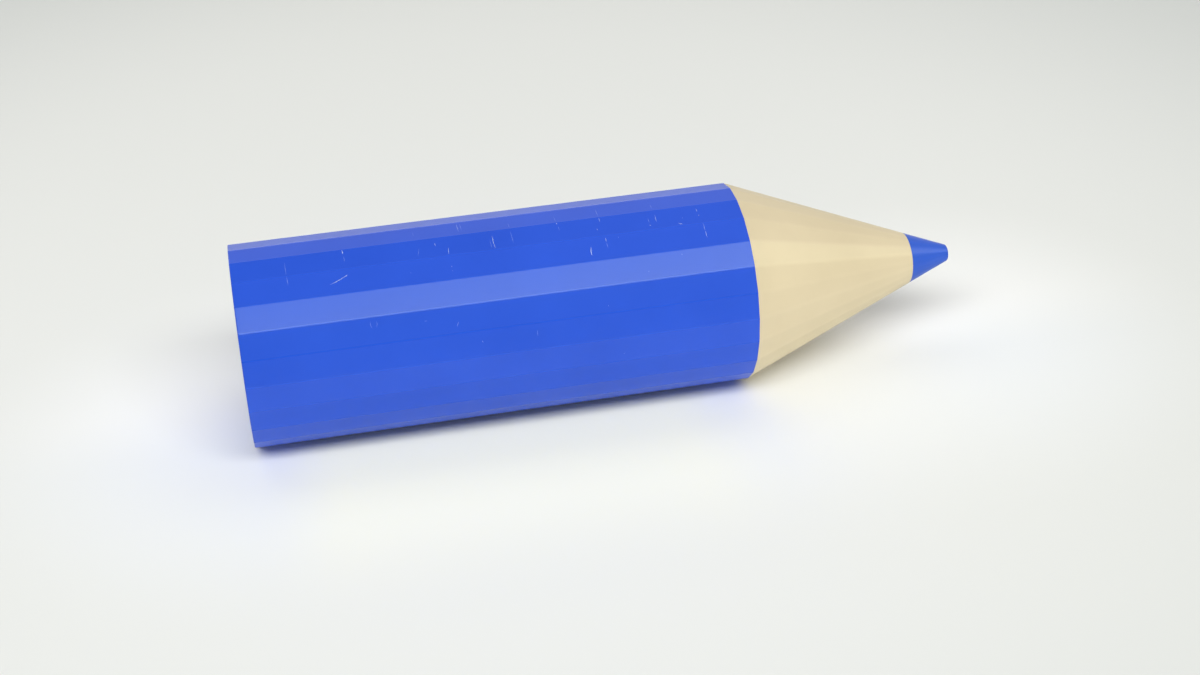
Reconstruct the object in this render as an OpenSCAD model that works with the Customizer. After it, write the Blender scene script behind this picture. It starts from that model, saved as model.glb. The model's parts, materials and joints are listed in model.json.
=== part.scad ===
// Large decorative pencil that lies on one of its flats.
// Its axis runs along X with the tip at +X. The origin is on the ground under the middle of its length.

/* [Barrel] */
// Diameter of the barrel across its corners
barrel_d = 80; // [50:1:160]
// Length of the barrel
barrel_l = 198; // [100:1:400]
// Number of flats around the barrel, the cone and the tip
flats = 24; // [12:2:48]

/* [Sharpened end] */
// Length of the wood-coloured cone
cone_l = 73; // [30:1:150]
// Length of the coloured tip
tip_l = 18; // [6:1:40]
// Diameter of the blunt end of the tip across its corners
tip_end_d = 6.6; // [2:0.2:20]

/* [Hidden] */
// Angle from one corner to the next
corner_step = 360 / flats;
// Direction of the lowest flat in the outline
down = -90;
// Height of the axis when the lowest flat is on the ground
axis_z = barrel_d / 2 * cos(corner_step / 2);
// One straight taper runs from the barrel to the blunt end, so the cone and the tip are flush
taper = (barrel_d - tip_end_d) / (cone_l + tip_l);
tip_d = barrel_d - taper * cone_l;
// Where each piece starts along the axis
barrel_x = -(barrel_l + cone_l + tip_l) / 2;
cone_x = barrel_x + barrel_l;
tip_x = cone_x + cone_l;

// Corners lie half a step to each side of the lowest flat
module outline(d) {
    polygon([
        for (i = [0 : flats - 1])
            let (a = down + (i + 0.5) * corner_step)
                d / 2 * [cos(a), sin(a)]
    ]);
}

// Length of the pencil from x onwards, with its flats level with those of its neighbours
module stretch(x, l, start_d, end_d) {
    translate([x, 0, axis_z])
        rotate([90, 0, 90])
            linear_extrude(height = l, scale = end_d / start_d)
                outline(start_d);
}

module barrel() {
    color("royalblue")
        stretch(barrel_x, barrel_l, barrel_d, barrel_d);
}

module cone() {
    color("wheat")
        stretch(cone_x, cone_l, barrel_d, tip_d);
}

module tip() {
    color("royalblue")
        stretch(tip_x, tip_l, tip_d, tip_end_d);
}

barrel();
cone();
tip();
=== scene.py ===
import json
import math

import bmesh
import bpy
from mathutils import Matrix, Vector, noise

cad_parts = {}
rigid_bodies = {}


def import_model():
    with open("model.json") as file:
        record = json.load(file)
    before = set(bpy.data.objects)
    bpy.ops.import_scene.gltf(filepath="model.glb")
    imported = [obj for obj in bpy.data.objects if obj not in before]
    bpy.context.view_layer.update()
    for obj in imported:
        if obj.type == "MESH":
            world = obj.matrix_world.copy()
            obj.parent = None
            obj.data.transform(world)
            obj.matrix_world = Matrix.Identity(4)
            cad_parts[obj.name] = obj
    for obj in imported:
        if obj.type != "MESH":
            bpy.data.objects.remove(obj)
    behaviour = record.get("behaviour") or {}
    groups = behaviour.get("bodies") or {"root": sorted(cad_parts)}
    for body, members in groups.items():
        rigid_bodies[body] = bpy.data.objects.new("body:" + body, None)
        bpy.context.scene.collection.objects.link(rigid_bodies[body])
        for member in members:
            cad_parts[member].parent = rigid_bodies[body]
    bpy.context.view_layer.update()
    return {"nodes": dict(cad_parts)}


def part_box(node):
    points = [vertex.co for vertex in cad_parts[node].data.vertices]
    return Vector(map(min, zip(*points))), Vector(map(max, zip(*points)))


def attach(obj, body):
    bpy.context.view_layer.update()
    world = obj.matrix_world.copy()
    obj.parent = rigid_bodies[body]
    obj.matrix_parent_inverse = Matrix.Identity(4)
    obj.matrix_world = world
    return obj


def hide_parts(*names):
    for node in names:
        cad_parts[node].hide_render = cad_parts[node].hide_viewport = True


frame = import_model()
solids = frame["nodes"]
mm = 0.001
sameFace = 0.01 * mm  # points this near to an end face belong to it
print("frame loaded, solids:", ", ".join(sorted(solids)))


# measures taken from the frame

def axisHeight():
    low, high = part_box("barrel")
    return (low.z + high.z) / 2


def cornerRadius(solid, atHighEnd):
    # how far the corners of an end face lie from the axis
    low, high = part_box(solid)
    endX = high.x if atHighEnd else low.x
    height = axisHeight()
    corners = [v.co for v in solids[solid].data.vertices if abs(v.co.x - endX) < sameFace]
    return max(math.hypot(p.y, p.z - height) for p in corners)


# the shape all three pieces share: flats with softly rounded corners

section = {
    "flats": 24,
    "roundSteps": 4,  # spans in each rounded corner
    "rimSteps": 5,  # spans in each rounded rim
    "spanMm": 2.5,  # length of the spans along the pencil
    "waverMm": 0.03,  # how far the wall wanders inwards
    "waverSwing": 0.4,  # share of it that comes and goes along the wall
    "waverLengthMm": 22.0,
}
halfStep = math.pi / section["flats"]


def sectionLoop(radius, roundRadius):
    # (y, z, 1 on a rounded corner) round the axis, from the corner right of the lowest flat
    reach = radius - roundRadius / math.cos(halfStep)
    steps = section["roundSteps"]
    loop = []
    for corner in range(section["flats"]):
        angle = -math.pi / 2 + (2 * corner + 1) * halfStep
        centre = Vector((math.cos(angle), math.sin(angle))) * reach
        for step in range(steps + 1):
            turn = angle + halfStep * (2 * step / steps - 1)
            place = centre + Vector((math.cos(turn), math.sin(turn))) * roundRadius
            loop.append((place.x, place.y, 1.0 if 0 < step < steps else 0.0))
    return loop


def stations(startX, endX, startRadius, endRadius, startRim, endRim):
    # (x, radius, how far the rim is rounded in) along the axis
    def radiusAt(x):
        return startRadius + (endRadius - startRadius) * (x - startX) / (endX - startX)

    places = []
    steps = section["rimSteps"]
    for step in range(steps + 1):
        turn = math.pi / 2 * step / steps
        x = startX + startRim * (1 - math.cos(turn))
        places.append((x, radiusAt(x), startRim * (1 - math.sin(turn))))
    length = endX - endRim - startX - startRim
    spans = max(1, round(length / (section["spanMm"] * mm)))
    for span in range(1, spans):
        x = startX + startRim + length * span / spans
        places.append((x, radiusAt(x), 0))
    for step in range(steps, -1, -1):
        turn = math.pi / 2 * step / steps
        x = endX - endRim * (1 - math.cos(turn))
        places.append((x, radiusAt(x), endRim * (1 - math.sin(turn))))
    return places


def wallDrift(place):
    # always a little inwards, so that nothing leaves the solid
    swing = section["waverSwing"]
    wave = noise.noise(place / (section["waverLengthMm"] * mm))
    return section["waverMm"] * mm * (1 - swing + swing * wave)


def printedLength(name, solid, startRadius, endRadius, look):
    # one closed skin from end face to end face
    low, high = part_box(solid)
    height = axisHeight()
    startRim, endRim = look["startRimMm"] * mm, look["endRimMm"] * mm
    startRound, endRound = look["startRoundMm"] * mm, look["endRoundMm"] * mm
    mesh = bpy.data.meshes.new(name)
    shell = bmesh.new()
    corner = shell.verts.layers.float.new("corner")
    rings = []
    for x, radius, inset in stations(low.x, high.x, startRadius, endRadius, startRim, endRim):
        ring = []
        cornerRound = startRound + (endRound - startRound) * (x - low.x) / (high.x - low.x)
        for y, z, onCorner in sectionLoop(radius - inset / math.cos(halfStep), cornerRound - inset):
            scale = 1 - wallDrift(Vector((x, y, z))) / math.hypot(y, z)
            vert = shell.verts.new((x, y * scale, height + z * scale))
            vert[corner] = onCorner
            ring.append(vert)
        rings.append(ring)
    count = len(rings[0])
    for near, far in zip(rings, rings[1:]):
        for i in range(count):
            j = (i + 1) % count
            shell.faces.new((near[i], near[j], far[j], far[i]))
    shell.faces.new(rings[0])
    shell.faces.new(list(reversed(rings[-1])))
    bmesh.ops.recalc_face_normals(shell, faces=shell.faces)
    for face in shell.faces:
        face.smooth = True
    shell.to_mesh(mesh)
    shell.free()
    piece = bpy.data.objects.new(name, mesh)
    bpy.context.scene.collection.objects.link(piece)
    flatten = piece.modifiers.new("flatFaces", "WEIGHTED_NORMAL")
    flatten.mode = "FACE_AREA"
    flatten.weight = 100  # the flats rule over the narrow corner faces
    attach(piece, "root")
    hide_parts(solid)
    return piece


# printed plastic

def addNode(tree, kind, **settings):
    made = tree.nodes.new(kind)
    for key, value in settings.items():
        setattr(made, key, value)
    return made


def addNoise(tree, vector, scale, detail):
    made = addNode(tree, "ShaderNodeTexNoise")
    made.inputs["Scale"].default_value = scale
    made.inputs["Detail"].default_value = detail
    tree.links.new(vector, made.inputs["Vector"])
    return made.outputs["Fac"]


def addRange(tree, value, fromLow, fromHigh, toLow, toHigh, easing="LINEAR"):
    made = addNode(tree, "ShaderNodeMapRange", interpolation_type=easing)
    made.inputs["From Min"].default_value = fromLow
    made.inputs["From Max"].default_value = fromHigh
    made.inputs["To Min"].default_value = toLow
    made.inputs["To Max"].default_value = toHigh
    tree.links.new(value, made.inputs["Value"])
    return made.outputs[0]


def addMix(tree, share, first, second):
    made = addNode(tree, "ShaderNodeMix", data_type="RGBA")
    colours = [socket for socket in made.inputs if socket.type == "RGBA"]
    for socket, colour in zip(colours, (first, second)):
        if isinstance(colour, tuple):
            socket.default_value = (*colour, 1)
        else:
            tree.links.new(colour, socket)
    tree.links.new(share, made.inputs["Factor"])
    return next(socket for socket in made.outputs if socket.type == "RGBA")


def addBump(tree, height, strength, depthMm, normal=None):
    made = addNode(tree, "ShaderNodeBump")
    made.inputs["Strength"].default_value = strength
    made.inputs["Distance"].default_value = depthMm * mm
    tree.links.new(height, made.inputs["Height"])
    if normal is not None:
        tree.links.new(normal, made.inputs["Normal"])
    return made.outputs[0]


def addMath(tree, operation, first, second=None):
    made = addNode(tree, "ShaderNodeMath", operation=operation)
    for socket, value in zip(made.inputs, (first, second)):
        if isinstance(value, (int, float)):
            socket.default_value = value
        elif value is not None:
            tree.links.new(value, socket)
    return made.outputs[0]


def addWaves(tree, along, pitchMm):
    return addMath(tree, "SINE", addMath(tree, "MULTIPLY", along, 2 * math.pi / (pitchMm * mm)))


def newMaterial(name):
    material = bpy.data.materials.new(name)
    material.use_nodes = True
    return material, material.node_tree, material.node_tree.nodes["Principled BSDF"]


def printedPlastic(name, look):
    material, tree, shader = newMaterial(name)
    link = tree.links.new
    shader.inputs["IOR"].default_value = look["ior"]
    shader.inputs["Anisotropic"].default_value = look["stretch"]
    shader.inputs["Anisotropic Rotation"].default_value = look["stretchTurn"]
    place = addNode(tree, "ShaderNodeTexCoord").outputs["Object"]
    axes = addNode(tree, "ShaderNodeSeparateXYZ")
    link(place, axes.inputs[0])

    # rings that differ a little from layer to layer
    squeeze = addNode(tree, "ShaderNodeMapping")
    squeeze.inputs["Scale"].default_value = (look["ringsPerM"], look["driftPerM"], look["driftPerM"])
    link(place, squeeze.inputs["Vector"])
    rings = addNoise(tree, squeeze.outputs[0], scale=1, detail=2)
    mottle = addNoise(tree, place, look["mottlePerM"], detail=4)
    grain = addNoise(tree, place, look["grainPerM"], detail=3)

    # colour: mottled, and a touch paler where the corners are rubbed
    cloud = addRange(tree, mottle, *look["mottleSpan"], 0, 1)
    colour = addMix(tree, cloud, look["shade"], look["light"])
    corner = addNode(tree, "ShaderNodeAttribute", attribute_name="corner")
    rubbed = addMath(tree, "MULTIPLY", corner.outputs["Fac"], look["rubShare"])
    colour = addMix(tree, rubbed, colour, look["rubbed"])
    link(colour, shader.inputs["Base Color"])

    # roughness follows the rings and the mottle, and evens out where the corners are rubbed
    ringPart = addMath(tree, "MULTIPLY", rings, look["ringShare"])
    mottlePart = addMath(tree, "MULTIPLY", mottle, 1 - look["ringShare"])
    handled = addMath(tree, "ADD", ringPart, mottlePart)
    rough = addRange(tree, handled, *look["handledSpan"], look["roughLow"], look["roughHigh"])
    smoother = addMath(tree, "SUBTRACT", look["rubbedRough"], rough)
    rough = addMath(tree, "ADD", rough, addMath(tree, "MULTIPLY", smoother, corner.outputs["Fac"]))
    link(rough, shader.inputs["Roughness"])

    # the gloss is drawn out along the pencil, across the layer lines
    tangent = addNode(tree, "ShaderNodeTangent", direction_type="RADIAL", axis="X")
    link(tangent.outputs[0], shader.inputs["Tangent"])

    # relief: layer lines round the sides, first-layer lines over the end faces
    layers = addWaves(tree, axes.outputs["X"], look["layerMm"])
    lines = addWaves(tree, addMath(tree, "ADD", axes.outputs["Y"], axes.outputs["Z"]), look["endLineMm"])
    facing = addNode(tree, "ShaderNodeSeparateXYZ")
    link(addNode(tree, "ShaderNodeNewGeometry").outputs["True Normal"], facing.inputs[0])
    onEnd = addRange(tree, addMath(tree, "ABSOLUTE", facing.outputs["X"]), *look["endSpan"], 0, 1)
    endRelief = addMath(tree, "MULTIPLY", lines, addMath(tree, "MULTIPLY", onEnd, look["endLineShare"]))
    normal = addBump(tree, addMath(tree, "ADD", layers, endRelief), look["layerBump"], look["layerDepthMm"])
    normal = addBump(tree, grain, look["grainBump"], look["grainDepthMm"], normal)
    link(normal, shader.inputs["Normal"])
    return material


# barrel

barrelLook = {
    "shade": (0.0156, 0.085, 0.636),  # the mottle runs from this
    "light": (0.0195, 0.0965, 0.693),  # to this
    "rubbed": (0.039, 0.14, 0.86),  # on the corners
    "rubShare": 0.05,
    "rubbedRough": 0.27,
    "ior": 1.46,
    "stretch": 0.5,
    "stretchTurn": 0.25,  # a quarter turn, so that the gloss runs along the pencil
    "layerMm": 0.3,
    "layerBump": 0.06,
    "layerDepthMm": 0.003,
    "endLineMm": 0.64,
    "endLineShare": 6.0,
    "endSpan": (0.8, 0.95),  # how squarely a face looks along the pencil to count as an end
    "ringsPerM": 400,
    "driftPerM": 8,  # how fast the rings change across the pencil
    "ringShare": 0.3,  # of the rings in the roughness, beside the mottle
    "handledSpan": (0.35, 0.65),
    "mottlePerM": 26,
    "mottleSpan": (0.3, 0.7),
    "grainPerM": 1400,
    "grainBump": 0.04,
    "grainDepthMm": 0.02,
    "roughLow": 0.278,
    "roughHigh": 0.292,
    "startRimMm": 0.5,
    "endRimMm": 0.1,
    "startRoundMm": 3.5,  # of the corners between the flats
    "endRoundMm": 3.5,
}


def makeBarrel():
    radius = cornerRadius("barrel", False)
    piece = printedLength("barrelShell", "barrel", radius, radius, barrelLook)
    piece.data.materials.append(printedPlastic("bluePlastic", barrelLook))
    print("barrel made,", len(piece.data.vertices), "points")


# rubbed marks on the barrel

scuffLook = {
    "widthMm": 0.42,
    "sinkMm": 0.045,  # how deep the sides of a mark dip under the wall
    "strengths": {"faint": 0.25, "soft": 0.5, "clear": 0.8, "bright": 1.2},
    "faintColour": (0.026, 0.13, 0.77),
    "brightColour": (0.84, 0.92, 1.0),
    "rough": 0.55,
    "stepMm": 0.35,  # spacing of the sections along a mark
    "taper": 0.08,  # share of the way by which a mark is already open at its ends
    "wobbleMm": 0.06,
    "ridgeMm": 0.001,  # how deep its middle line lies, and below, its underside
    "undersideMm": 0.1,
    "endPale": 0.35,  # how pale its ends are, as a share of its middle
    "breaksPerM": 2600,
    "breakSpan": (0.35, 0.6),
    "breakLow": 0.55,  # how pale the broken places are
    # by flat, as degrees up from the front: strength, then points in mm from the back end and down the flat
    "marks": {
        90: [
            ("faint", (70.5, 3.8), (70.5, 6.5)),
            ("soft", (87.8, 1.3), (87.9, 7.7)),
            ("faint", (89.1, 1.5), (89.1, 7.0)),
            ("faint", (107.4, 6.0), (107.4, 9.5)),
            ("faint", (125.5, 5.2), (125.6, 9.5)),
            ("faint", (142.4, 3.5), (142.4, 9.5)),
            ("faint", (164.0, 5.5), (164.0, 8.5)),
        ],
        75: [
            ("faint", (20.6, 2.7), (20.6, 9.7)),
            ("bright", (42.6, 0.1), (42.7, 2.3)),
            ("faint", (42.9, 3.5), (42.9, 6.5)),
            ("faint", (71.5, 4.4), (70.6, 8.5)),
            ("clear", (77.7, 2.5), (77.9, 4.5)),
            ("clear", (82.5, 6.2), (82.2, 9.4)),
            ("faint", (98.8, 4.5), (98.8, 9.5)),
            ("bright", (100.0, 2.6), (99.9, 6.0), (100.1, 9.7)),
            ("faint", (107.3, 1.2), (107.4, 8.3)),
            ("bright", (125.6, 0.1), (125.7, 1.0)),
            ("faint", (126.0, 2.0), (126.0, 4.5)),
            ("clear", (140.4, 6.1), (140.5, 6.9)),
            ("soft", (142.4, 0.1), (142.4, 2.6)),
            ("faint", (161.1, 4.0), (161.1, 6.5)),
            ("clear", (161.0, 7.5), (161.2, 8.2)),
            ("soft", (164.1, 2.6), (164.0, 6.5)),
            ("bright", (172.2, 8.8), (173.8, 9.7)),
            ("faint", (174.4, 5.8), (174.5, 6.6)),
            ("clear", (180.8, 1.9), (180.9, 3.7)),
            ("clear", (181.0, 5.5), (181.0, 6.1)),
        ],
        60: [
            ("faint", (20.7, 0.1), (20.8, 4.0)),
            ("clear", (36.0, 6.1), (39.5, 4.7), (43.0, 2.8)),
            ("bright", (41.6, 3.6), (43.2, 2.7)),
            ("faint", (66.8, 5.1), (66.8, 5.7)),
            ("soft", (82.4, 4.6), (82.4, 5.2)),
            ("faint", (82.4, 6.6), (82.4, 7.0)),
            ("bright", (136.4, 4.1), (136.0, 6.1), (136.0, 7.7), (136.6, 8.2)),
            ("clear", (142.7, 1.0), (142.7, 2.8)),
            ("faint", (142.7, 3.3), (142.8, 5.5)),
            ("faint", (147.7, 1.2), (147.7, 1.7)),
            ("soft", (181.6, 0.1), (181.7, 3.5)),
            ("clear", (181.7, 3.5), (181.8, 6.7)),
        ],
        45: [
            ("faint", (156.6, 6.8), (156.6, 7.3)),
            ("faint", (170.6, 1.7), (170.6, 2.3)),
        ],
        30: [
            ("faint", (49.0, 1.6), (48.9, 3.1), (49.4, 4.4)),
            ("faint", (51.3, 1.6), (51.4, 3.0), (51.0, 4.2)),
            ("faint", (69.0, 4.2), (70.1, 4.2)),
            ("faint", (80.8, 7.9), (81.9, 6.0)),
            ("soft", (139.2, 7.3), (139.2, 7.9)),
        ],
        15: [
            ("clear", (89.9, 4.2), (89.9, 4.8)),
            ("faint", (111.0, 2.7), (111.0, 5.2)),
        ],
        0: [
            ("faint", (143.7, 7.5), (144.5, 6.9)),
        ],
    },
}


def onFlat(degrees, alongMm, downMm, depthMm):
    # a point on a flat of the barrel, sunk along the flat's own normal
    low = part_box("barrel")[0]
    radius = cornerRadius("barrel", False)
    angle = math.radians(degrees)
    outwards = Vector((0, -math.cos(angle), math.sin(angle)))
    upwards = Vector((0, math.sin(angle), math.cos(angle)))
    up = radius * math.sin(halfStep) - downMm * mm
    middle = Vector((low.x + alongMm * mm, 0, axisHeight()))
    return middle + outwards * (radius * math.cos(halfStep) - depthMm * mm) + upwards * up


def walkAlong(points, spacing, leastSteps=3):
    # evenly spread places on a line through the points, with the share of the way to each
    lengths = [math.dist(a, b) for a, b in zip(points, points[1:])]
    total = sum(lengths)
    count = max(leastSteps, math.ceil(total / spacing))
    places = []
    for step in range(count + 1):
        left = total * step / count
        for (a, b), length in zip(zip(points, points[1:]), lengths):
            if left <= length or b is points[-1]:
                share = min(1, left / length)
                places.append(((a[0] + (b[0] - a[0]) * share, a[1] + (b[1] - a[1]) * share), step / count))
                break
            left -= length
    return places


def addScuff(shape, pale, degrees, strength, points):
    # a lens-shaped ridge that fades out towards both ends
    half = scuffLook["widthMm"] / 2
    sink, taper, endPale = scuffLook["sinkMm"], scuffLook["taper"], scuffLook["endPale"]
    profile = ((-1, sink), (0, scuffLook["ridgeMm"]), (1, sink), (0, scuffLook["undersideMm"]))
    fullStrength = scuffLook["strengths"][strength]
    start, end = Vector(points[0]), Vector(points[-1])
    across = Vector((-(end - start).y, (end - start).x)).normalized()
    rings = []
    for (along, down), share in walkAlong(points, scuffLook["stepMm"]):
        swell = math.sin(math.pi * (taper + (1 - 2 * taper) * share))
        wobble = scuffLook["wobbleMm"] * noise.noise(Vector((along, down, degrees)))
        ring = []
        for side, depth in profile:
            spot = Vector((along, down)) + across * (side * half * swell + wobble)
            vert = shape.verts.new(onFlat(degrees, spot.x, spot.y, depth))
            vert[pale] = fullStrength * (endPale + (1 - endPale) * swell)
            ring.append(vert)
        rings.append(ring)
    for near, far in zip(rings, rings[1:]):
        for i in range(4):
            j = (i + 1) % 4
            shape.faces.new((near[i], near[j], far[j], far[i]))
    shape.faces.new(rings[0])
    shape.faces.new(list(reversed(rings[-1])))


def rubbedPlastic():
    material, tree, shader = newMaterial("rubbedBlue")
    place = addNode(tree, "ShaderNodeTexCoord").outputs["Object"]
    pale = addNode(tree, "ShaderNodeAttribute", attribute_name="pale").outputs["Fac"]
    breaks = addNoise(tree, place, scuffLook["breaksPerM"], detail=2)
    broken = addRange(tree, breaks, *scuffLook["breakSpan"], scuffLook["breakLow"], 1)
    share = addMath(tree, "MULTIPLY", pale, broken)
    colour = addMix(tree, share, scuffLook["faintColour"], scuffLook["brightColour"])
    tree.links.new(colour, shader.inputs["Base Color"])
    shader.inputs["Roughness"].default_value = scuffLook["rough"]
    return material


def makeScuffs():
    mesh = bpy.data.meshes.new("scuffMarks")
    shape = bmesh.new()
    pale = shape.verts.layers.float.new("pale")
    count = 0
    for degrees, marks in scuffLook["marks"].items():
        for strength, *points in marks:
            addScuff(shape, pale, degrees, strength, points)
            count += 1
    bmesh.ops.recalc_face_normals(shape, faces=shape.faces)
    for face in shape.faces:
        face.smooth = True
    shape.to_mesh(mesh)
    shape.free()
    piece = bpy.data.objects.new("scuffMarks", mesh)
    bpy.context.scene.collection.objects.link(piece)
    mesh.materials.append(rubbedPlastic())
    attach(piece, "root")
    print("rubbed marks made:", count)


# cone

coneLook = dict(
    barrelLook,
    shade=(0.66, 0.556, 0.358),
    light=(0.72, 0.61, 0.398),
    rubbed=(0.88, 0.76, 0.52),
    rubbedRough=0.42,
    ior=1.48,
    stretch=0.4,
    roughLow=0.41,
    roughHigh=0.46,
    startRimMm=0.1,
    endRimMm=0.1,
    startRoundMm=8.0,
    endRoundMm=8.0,
)


def makeCone():
    startRadius = cornerRadius("cone", False)
    endRadius = cornerRadius("cone", True)
    piece = printedLength("woodCone", "cone", startRadius, endRadius, coneLook)
    piece.data.materials.append(printedPlastic("woodPlastic", coneLook))
    print("cone made,", len(piece.data.vertices), "points")


# tip

tipLook = dict(
    barrelLook,
    shade=(0.023, 0.095, 0.527),
    light=(0.028, 0.108, 0.591),
    ior=1.4,
    stretch=0.7,
    rubbedRough=0.34,
    roughLow=0.34,
    roughHigh=0.36,
    startRimMm=0.1,
    endRimMm=0.6,
    startRoundMm=8.0,
    endRoundMm=2.8,
)


def makeTip():
    startRadius = cornerRadius("tip", False)
    endRadius = cornerRadius("tip", True)
    piece = printedLength("blueTip", "tip", startRadius, endRadius, tipLook)
    piece.data.materials.append(printedPlastic("tipPlastic", tipLook))
    print("tip made,", len(piece.data.vertices), "points")


# floor

floorLook = {
    "halfSizeM": 4.0,
    # painted shade: the floor is paler near the middle and darker away from it
    "near": (0.794, 0.804, 0.768),
    "far": (0.553, 0.577, 0.553),
    "middle": (-0.035, 0.15, 0.0),
    "fadeFromM": 0.2,
    "fadeToM": 0.72,
    "paintedLightBesideBarrel": (0.99, 0.985, 0.77),  # painted light: paler and less blue, it lifts the pencil's shade and evens out the colour the pencil throws on the floor
    # painted light beside the ends, paler still behind them, that lifts their shadow on the floor
    "paintedLightBesideEnds": (0.84, 0.865, 0.87),
    "paintedLightBehindEnds": (0.94, 0.945, 0.925),
    "mirrored": (0.53, 0.55, 0.53),  # painted shade: the floor beside the pencil, darker as its lowest flats mirror it
    "besideM": 0.13,
    "endsFromM": -0.035,  # the painted tint beside the ends sets in before the barrel's ends
    "endsToM": 0.005,
    "backFromY": -0.02,
    "backToY": 0.03,
    "paintedBounceGlow": 0.08,  # painted light: a glow of the floor beside the ends, seen only by diffuse rays, that lights the taper from below
    "paintedGlowShare": 0.012,  # painted light: a faint glow seen only by the camera, which lifts the deepest shade
    "rough": 0.9,
    "gloss": 0.2,
}


def makeFloor():
    half = floorLook["halfSizeM"]
    mesh = bpy.data.meshes.new("floor")
    corners = [(-half, -half, 0), (half, -half, 0), (half, half, 0), (-half, half, 0)]
    mesh.from_pydata(corners, [], [(0, 1, 2, 3)])
    floor = bpy.data.objects.new("floor", mesh)
    bpy.context.scene.collection.objects.link(floor)
    material, tree, shader = newMaterial("paleFloor")
    link = tree.links.new
    shader.inputs["Roughness"].default_value = floorLook["rough"]
    shader.inputs["Specular IOR Level"].default_value = floorLook["gloss"]
    # painted shade: the floor darkens away from its middle
    away = addNode(tree, "ShaderNodeVectorMath", operation="DISTANCE")
    away.inputs[1].default_value = floorLook["middle"]
    link(addNode(tree, "ShaderNodeTexCoord").outputs["Object"], away.inputs[0])
    fadeSpan = floorLook["fadeFromM"], floorLook["fadeToM"]
    paintedFalloff = addRange(tree, away.outputs["Value"], *fadeSpan, 0, 1, "SMOOTHSTEP")
    colour = addMix(tree, paintedFalloff, floorLook["near"], floorLook["far"])

    # how near to the pencil, measured level with the floor
    axes = addNode(tree, "ShaderNodeSeparateXYZ")
    link(addNode(tree, "ShaderNodeTexCoord").outputs["Object"], axes.inputs[0])
    back, seam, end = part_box("barrel")[0].x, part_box("barrel")[1].x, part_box("tip")[1].x
    past = addMath(tree, "SUBTRACT", addMath(tree, "ABSOLUTE", axes.outputs["X"]), end)
    past = addMath(tree, "POWER", addMath(tree, "MAXIMUM", past, 0), 2)
    aside = addMath(tree, "POWER", addMath(tree, "ABSOLUTE", axes.outputs["Y"]), 2)
    gap = addMath(tree, "SQRT", addMath(tree, "ADD", past, aside))
    near = addRange(tree, gap, 0.0, floorLook["besideM"], 1, 0, "SMOOTHSTEP")

    # painted light: one tint beside the barrel and others beside its ends, in front and behind, that lift
    # the pencil's shadow on the floor
    fromMiddle = addMath(tree, "SUBTRACT", axes.outputs["X"], (back + seam) / 2)
    fromMiddle = addMath(tree, "ABSOLUTE", fromMiddle)
    barrelHalf = (seam - back) / 2
    endsSpan = barrelHalf + floorLook["endsFromM"], barrelHalf + floorLook["endsToM"]
    beyond = addRange(tree, fromMiddle, *endsSpan, 0, 1, "SMOOTHSTEP")
    backSpan = floorLook["backFromY"], floorLook["backToY"]
    behind = addRange(tree, axes.outputs["Y"], *backSpan, 0, 1, "SMOOTHSTEP")
    ends = addMix(tree, behind, floorLook["paintedLightBesideEnds"], floorLook["paintedLightBehindEnds"])
    colour = addMix(tree, near, colour, addMix(tree, beyond, floorLook["paintedLightBesideBarrel"], ends))
    path = addNode(tree, "ShaderNodeLightPath")
    # painted shade: gloss rays see the floor beside the pencil darker
    mirrored = addMath(tree, "MULTIPLY", near, path.outputs["Is Glossy Ray"])
    link(addMix(tree, mirrored, colour, floorLook["mirrored"]), shader.inputs["Base Color"])

    # a painted glow of its own, for the camera and, beside the ends, for diffuse rays
    link(colour, shader.inputs["Emission Color"])
    seen = addMath(tree, "MULTIPLY", path.outputs["Is Camera Ray"], floorLook["paintedGlowShare"])
    paintedBounce = addMath(tree, "MULTIPLY", path.outputs["Is Diffuse Ray"], floorLook["paintedBounceGlow"])
    paintedBounce = addMath(tree, "MULTIPLY", paintedBounce, addMath(tree, "MULTIPLY", near, beyond))
    link(addMath(tree, "ADD", seen, paintedBounce), shader.inputs["Emission Strength"])
    material.cycles.emission_sampling = "NONE"
    mesh.materials.append(material)
    print("floor laid")


# lights

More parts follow.
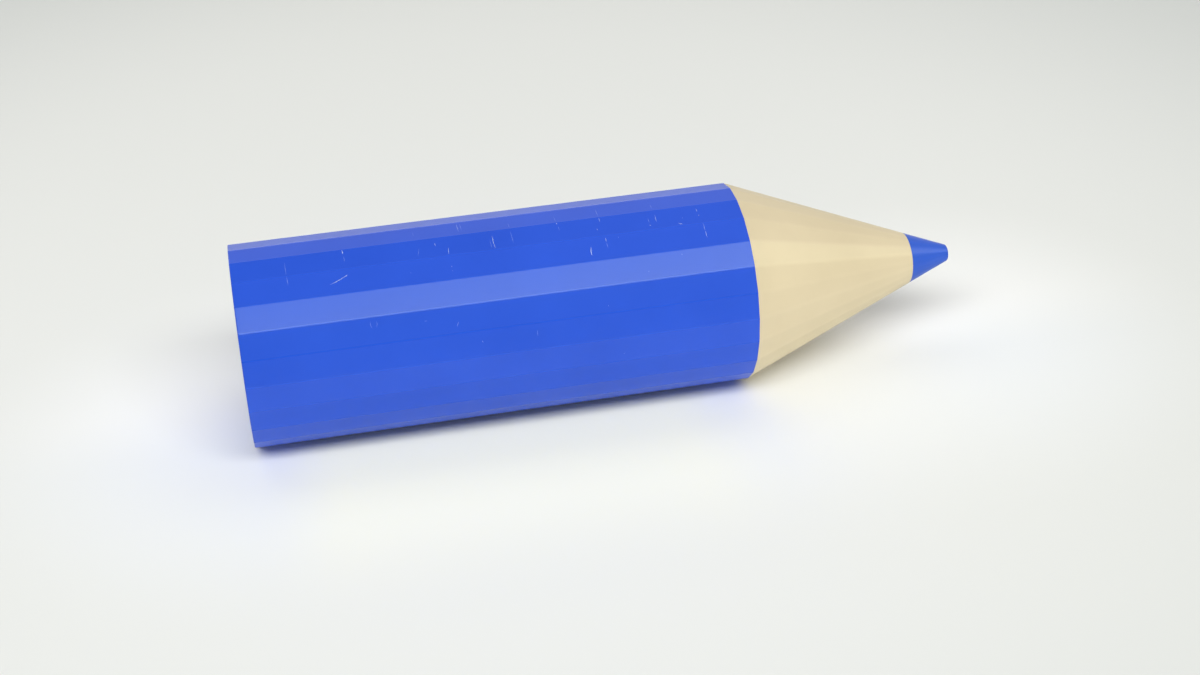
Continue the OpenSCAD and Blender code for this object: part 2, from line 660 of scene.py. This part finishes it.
# elevation and azimuth in degrees, azimuth to the right of the front; distance and size in metres
# a matteOnly lamp lights but is never mirrored, and a glossOnly lamp is only mirrored
# a pencilOnly or a floorOnly lamp lights nothing else
lamps = {
    "softbox": {
        "elevation": 51, "azimuth": 6, "distance": 3.0, "size": (6.4, 1.0), "radiance": 5.35,
        "colour": (0.905, 1.0, 0.48), "glossOnly": True,
    },
    "skyPanel": {
        "elevation": 52, "azimuth": -7, "distance": 3.0, "size": (3.8, 0.85), "radiance": 5.65,
        "matteOnly": True,
    },
    "floorPanel": {
        "elevation": 52, "azimuth": -7, "distance": 2.9, "size": (3.8, 0.85), "radiance": 3.1,
        "matteOnly": True, "floorOnly": True,
    },
    "floorTop": {
        "elevation": 72, "azimuth": 170, "distance": 2.5, "size": (4.0, 1.4), "radiance": 0.42,
        "matteOnly": True, "floorOnly": True,
    },
    "overhead": {
        "elevation": 72, "azimuth": 170, "distance": 2.4, "size": (4.0, 1.4), "radiance": 0.46,
        "matteOnly": True,
    },
    "fillLeft": {
        "elevation": 52, "azimuth": -30, "distance": 2.6, "size": (2.0, 1.2), "radiance": 0.62,
        "matteOnly": True,
    },
    "leftLow": {
        "elevation": 20, "azimuth": -75, "distance": 3.0, "size": (2.4, 1.2), "radiance": 0.46,
        "matteOnly": True,
    },
    "sideWindow": {
        "elevation": 28, "azimuth": 82, "distance": 2.0, "size": (1.1, 0.6), "radiance": 2.0,
        "glossOnly": True,
    },
    "frontLow": {
        "elevation": 9, "azimuth": 32, "distance": 1.4, "size": (1.0, 0.5), "radiance": 1.6,
        "matteOnly": True, "pencilOnly": True,
    },
    "lowRight": {
        "elevation": 6, "azimuth": 68, "distance": 2.0, "size": (2.0, 0.38), "radiance": 4.0,
        "matteOnly": True, "pencilOnly": True,
    },
    "backLight": {
        "elevation": 44, "azimuth": 176, "distance": 1.6, "size": (2.6, 1.0), "radiance": 1.2,
        "matteOnly": True, "pencilOnly": True,
    },
}
room = {
    "front": (0.192, 0.192, 0.196),
    "behind": (0.208, 0.208, 0.212),
    "behindFromY": -0.2,
    "behindToY": 0.8,
    "wall": (0.97, 0.98, 0.97),  # the pale wall low behind the pencil
    "wallSide": (-0.45, 0.89, 0.0),
    "wallFrom": 0.45,
    "wallTo": 0.8,
    "wallTopZ": 1.0,
    "wallStrength": 1.22,  # as mirrored; as seen it is 1
    "mirrorFromX": -0.1,  # mirrored, the room is brighter to the right and overhead
    "mirrorToX": 0.4,
    "mirrorTo": 0.7,
    "ceiling": 0.34,
    "ceilingFromZ": 0.75,
    "ceilingToZ": 1.0,
}


def makeLamps():
    pencil = bpy.data.collections.new("pencil")
    ground = bpy.data.collections.new("ground")
    for piece in bpy.context.scene.objects:
        if piece.type == "MESH":
            group = ground if piece.name == "floor" else pencil
            group.objects.link(piece)
    for name, lamp in lamps.items():
        light = bpy.data.lights.new(name, "AREA")
        light.shape = "RECTANGLE"
        light.size, light.size_y = lamp["size"]
        light.color = lamp.get("colour", (1.0, 1.0, 1.0))
        light.energy = lamp["radiance"] * math.pi * light.size * light.size_y
        elevation, azimuth = math.radians(lamp["elevation"]), math.radians(lamp["azimuth"])
        level = math.cos(elevation)
        outwards = Vector((math.sin(azimuth) * level, -math.cos(azimuth) * level, math.sin(elevation)))
        holder = bpy.data.objects.new(name, light)
        holder.location = outwards * lamp["distance"]
        holder.rotation_mode = "QUATERNION"
        holder.rotation_quaternion = outwards.to_track_quat("Z", "Y")
        holder.visible_glossy = not lamp.get("matteOnly")
        holder.visible_diffuse = not lamp.get("glossOnly")
        light.cycles.use_multiple_importance_sampling = not lamp.get("matteOnly")
        if lamp.get("pencilOnly"):
            holder.light_linking.receiver_collection = pencil
        if lamp.get("floorOnly"):
            holder.light_linking.receiver_collection = ground
        bpy.context.scene.collection.objects.link(holder)
    print("lamps set:", ", ".join(lamps))


def makeRoom():
    world = bpy.data.worlds.new("room")
    world.use_nodes = True
    bpy.context.scene.world = world
    tree = world.node_tree
    link = tree.links.new
    lit = tree.nodes["Background"]
    direction = addNode(tree, "ShaderNodeTexCoord").outputs["Generated"]
    axes = addNode(tree, "ShaderNodeSeparateXYZ")
    link(direction, axes.inputs[0])
    behind = addRange(tree, axes.outputs["Y"], room["behindFromY"], room["behindToY"], 0, 1)
    dim = addMix(tree, behind, room["front"], room["behind"])

    # what the gloss shows of the room
    path = addNode(tree, "ShaderNodeLightPath")
    glossy = path.outputs["Is Glossy Ray"]
    sideways = addRange(tree, axes.outputs["X"], room["mirrorFromX"], room["mirrorToX"], 0, room["mirrorTo"])
    high = addRange(tree, axes.outputs["Z"], room["ceilingFromZ"], room["ceilingToZ"], 0, 1, "SMOOTHSTEP")
    shown = addMath(tree, "ADD", sideways, addMath(tree, "MULTIPLY", high, room["ceiling"]))
    link(addMix(tree, glossy, dim, shown), lit.inputs["Color"])

    # the wall is there for camera and mirror rays only
    wall = addNode(tree, "ShaderNodeBackground")
    wall.inputs["Color"].default_value = (*room["wall"], 1)
    link(addRange(tree, glossy, 0, 1, 1, room["wallStrength"]), wall.inputs["Strength"])
    side = addNode(tree, "ShaderNodeVectorMath", operation="DOT_PRODUCT")
    side.inputs[1].default_value = room["wallSide"]
    link(direction, side.inputs[0])
    towards = addRange(tree, side.outputs["Value"], room["wallFrom"], room["wallTo"], 0, 1)
    low = addRange(tree, axes.outputs["Z"], room["wallTopZ"], 0.0, 0, 1, "SMOOTHSTEP")
    mirrored = addMath(tree, "MULTIPLY", addMath(tree, "MULTIPLY", towards, low), glossy)
    choose = addNode(tree, "ShaderNodeMixShader")
    link(addMath(tree, "MAXIMUM", mirrored, path.outputs["Is Camera Ray"]), choose.inputs[0])
    link(lit.outputs[0], choose.inputs[1])
    link(wall.outputs[0], choose.inputs[2])
    link(choose.outputs[0], tree.nodes["World Output"].inputs["Surface"])
    print("room set")


# camera

cameraSetup = {
    "sensorMm": 36,
    "lensMm": 58.11,
    "place": (-0.1278, -0.6570, 0.4359),
    "turnDeg": -10.82,  # from straight ahead, which is +Y, towards the left
    "tiltDeg": 31.79,  # below the horizon
    "rollDeg": -2.03,
}


def makeCamera():
    data = bpy.data.cameras.new("camera")
    data.sensor_width = cameraSetup["sensorMm"]
    data.lens = cameraSetup["lensMm"]
    camera = bpy.data.objects.new("camera", data)
    camera.location = cameraSetup["place"]
    turn, tilt, roll = [math.radians(cameraSetup[key]) for key in ("turnDeg", "tiltDeg", "rollDeg")]
    forward = Vector((-math.sin(turn) * math.cos(tilt), math.cos(turn) * math.cos(tilt), -math.sin(tilt)))
    right = Vector((math.cos(turn), math.sin(turn), 0))
    up = right.cross(forward)
    rolledRight = right * math.cos(roll) + up * math.sin(roll)
    rolledUp = up * math.cos(roll) - right * math.sin(roll)
    camera.rotation_mode = "QUATERNION"
    camera.rotation_quaternion = Matrix((rolledRight, rolledUp, -forward)).transposed().to_quaternion()
    bpy.context.scene.collection.objects.link(camera)
    bpy.context.scene.camera = camera
    print("camera set")


makeBarrel()
makeScuffs()
makeCone()
makeTip()
makeFloor()
makeLamps()
makeRoom()
makeCamera()
bpy.context.scene.view_settings.view_transform = "Standard"
bpy.context.view_layer.update()
print("scene finished")
